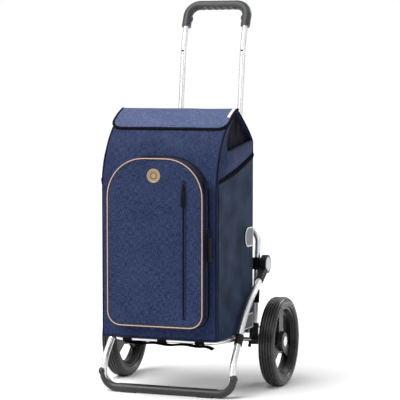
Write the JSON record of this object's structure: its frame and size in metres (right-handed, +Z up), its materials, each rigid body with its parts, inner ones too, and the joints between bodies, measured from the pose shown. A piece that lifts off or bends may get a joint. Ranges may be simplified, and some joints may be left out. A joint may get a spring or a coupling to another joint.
{
  "type": "shopping trolley on wheels",
  "caption": "Two-wheeled shopping trolley: leaning tube frame with a looped grip, folding leg frame and shelf, and a soft bag with a lid flap, front pocket and side pockets.",
  "frame": {"origin": "on the floor, under the middle of the trolley's box", "axes": "+Z up; +X to the right seen from the front, along the wheel axle; +Y to the back, the side of the handle"},
  "size_m": [0.517, 0.5308, 1.09],
  "materials": {
    "aluminium_tube": "satin anodised",
    "axle_steel": "turned",
    "black_plastic": "moulded",
    "grip_plastic": "fine grain",
    "grey_plastic": "smooth",
    "silver_plastic": "metallic",
    "tyre": "ribbed",
    "rim_plastic": "polished",
    "foot_rubber": "smooth",
    "blue_fabric": "woven melange",
    "slate_fabric": "woven melange",
    "lining": "coated nylon",
    "webbing": "ribbed tape",
    "cream_piping": "covered cord",
    "reflective": "reflective film",
    "zip_black": "coil zip",
    "zip_metal": "lacquered",
    "base_board": "covered board"
  },
  "bodies": {
    "frame": {"back_arch": "aluminium_tube", "handle_tube_left": "aluminium_tube", "handle_tube_right": "aluminium_tube", "lower_crossbar": "aluminium_tube", "handle_grip": "grip_plastic", "handle_rivets": "black_plastic", "upper_clamps": "black_plastic", "lower_clamps": "black_plastic", "axle_bracket_left": "black_plastic", "axle_bracket_right": "black_plastic", "axle_shaft": "axle_steel", "axle_washers": "axle_steel", "bracket_screws": "axle_steel", "pivot_clamp_left": "black_plastic", "pivot_clamp_right": "black_plastic", "pivot_pins": "axle_steel", "arch_straps": "webbing"},
    "leg_frame": {"leg_tube": "aluminium_tube", "leg_hub_left": "black_plastic", "leg_hub_right": "black_plastic", "leg_collars": "black_plastic", "foot_sleeve": "foot_rubber", "foot_pads": "foot_rubber"},
    "shelf": {"shelf_tube": "aluminium_tube", "shelf_clip_left": "black_plastic", "shelf_clip_right": "black_plastic", "shelf_straps": "webbing"},
    "bag": {"bag_base": "base_board", "bag_front": "blue_fabric", "bag_back": "blue_fabric", "bag_side_left": "blue_fabric", "bag_side_right": "blue_fabric", "lining_collar": "lining", "pocket_gusset": "blue_fabric", "pocket_face": "blue_fabric", "pocket_piping": "cream_piping", "pocket_badge": "cream_piping", "face_zip": "zip_black", "gusset_zip": "zip_black", "side_pocket_left": "slate_fabric", "side_pocket_right": "slate_fabric", "elastic_bands": "webbing", "reflectors": "reflective", "bag_hooks": "black_plastic"},
    "lid": {"lid_flap": "blue_fabric"},
    "face_slider": {"face_zip_slider": "zip_metal"},
    "face_puller": {"face_zip_puller": "zip_metal"},
    "gusset_slider": {"gusset_zip_slider": "zip_metal"},
    "gusset_puller": {"gusset_zip_puller": "zip_metal"},
    "wheel_left": {"tyre_left": "tyre", "rim_left": "rim_plastic", "wheel_bearings_left": "black_plastic"},
    "wheel_cap_left": {"wheel_button_left": "silver_plastic"},
    "fold_cap_left": {"fold_button_left": "grey_plastic"},
    "wheel_right": {"tyre_right": "tyre", "rim_right": "rim_plastic", "wheel_bearings_right": "black_plastic"},
    "wheel_cap_right": {"wheel_button_right": "silver_plastic"},
    "fold_cap_right": {"fold_button_right": "grey_plastic"}
  },
  "joints": [
    {"name": "wheel_spin_left", "type": "hinge", "parent": "frame", "child": "wheel_left", "pos_m": [-0.236, 0.10548, 0.125], "axis": [1, 0, 0], "continuous": true},
    {"name": "wheel_release_left", "type": "slide", "parent": "wheel_left", "child": "wheel_cap_left", "axis": [1, 0, 0], "range_m": [0, 0.003], "stiffness_N_per_m": 600, "springref_m": -0.002},
    {"name": "fold_release_left", "type": "slide", "parent": "leg_frame", "child": "fold_cap_left", "axis": [1, 0, 0], "range_m": [0, 0.0045], "stiffness_N_per_m": 600, "springref_m": -0.002},
    {"name": "wheel_spin_right", "type": "hinge", "parent": "frame", "child": "wheel_right", "pos_m": [0.236, 0.10548, 0.125], "axis": [1, 0, 0], "continuous": true},
    {"name": "wheel_release_right", "type": "slide", "parent": "wheel_right", "child": "wheel_cap_right", "axis": [-1, 0, 0], "range_m": [0, 0.003], "stiffness_N_per_m": 600, "springref_m": -0.002},
    {"name": "fold_release_right", "type": "slide", "parent": "leg_frame", "child": "fold_cap_right", "axis": [-1, 0, 0], "range_m": [0, 0.0045], "stiffness_N_per_m": 600, "springref_m": -0.002},
    {"name": "leg_fold", "type": "hinge", "parent": "frame", "child": "leg_frame", "pos_m": [0, 0.14226, 0.338], "axis": [-1, 0, 0], "range_deg": [0, 140]},
    {"name": "shelf_fold", "type": "hinge", "parent": "frame", "child": "shelf", "pos_m": [0, 0.118, 0.152], "axis": [-1, 0, 0], "range_deg": [0, 86]},
    {"name": "bag_lift", "type": "slide", "parent": "frame", "child": "bag", "axis": [0, 0, 1], "range_m": [0, 0.8806]},
    {"name": "lid_hinge", "type": "hinge", "parent": "bag", "child": "lid", "pos_m": [0, -0.05352, 0.78359], "axis": [-1, 0, 0], "range_deg": [0, 210]},
    {"name": "face_zip_run", "type": "slide", "parent": "bag", "child": "face_slider", "axis": [0, 0, -1], "range_m": [0, 0.33]},
    {"name": "face_puller_swing", "type": "hinge", "parent": "face_slider", "child": "face_puller", "pos_m": [0.09, -0.26442, 0.586], "axis": [-1, 0, 0], "range_deg": [0, 150]},
    {"name": "gusset_zip_run", "type": "slide", "parent": "bag", "child": "gusset_slider", "axis": [0, 0, 1], "range_m": [-0.22, 0.118]},
    {"name": "gusset_puller_swing", "type": "hinge", "parent": "gusset_slider", "child": "gusset_puller", "pos_m": [0.1514, -0.23652, 0.464], "axis": [0, -1, 0], "range_deg": [0, 150]}
  ],
  "couplings": [
    {"joint": "shelf_fold", "follows": "leg_fold", "ratio": 0.6142},
    {"joint": "bag_lift", "follows": "leg_fold", "m_per_rad": 0.36}
  ]
}
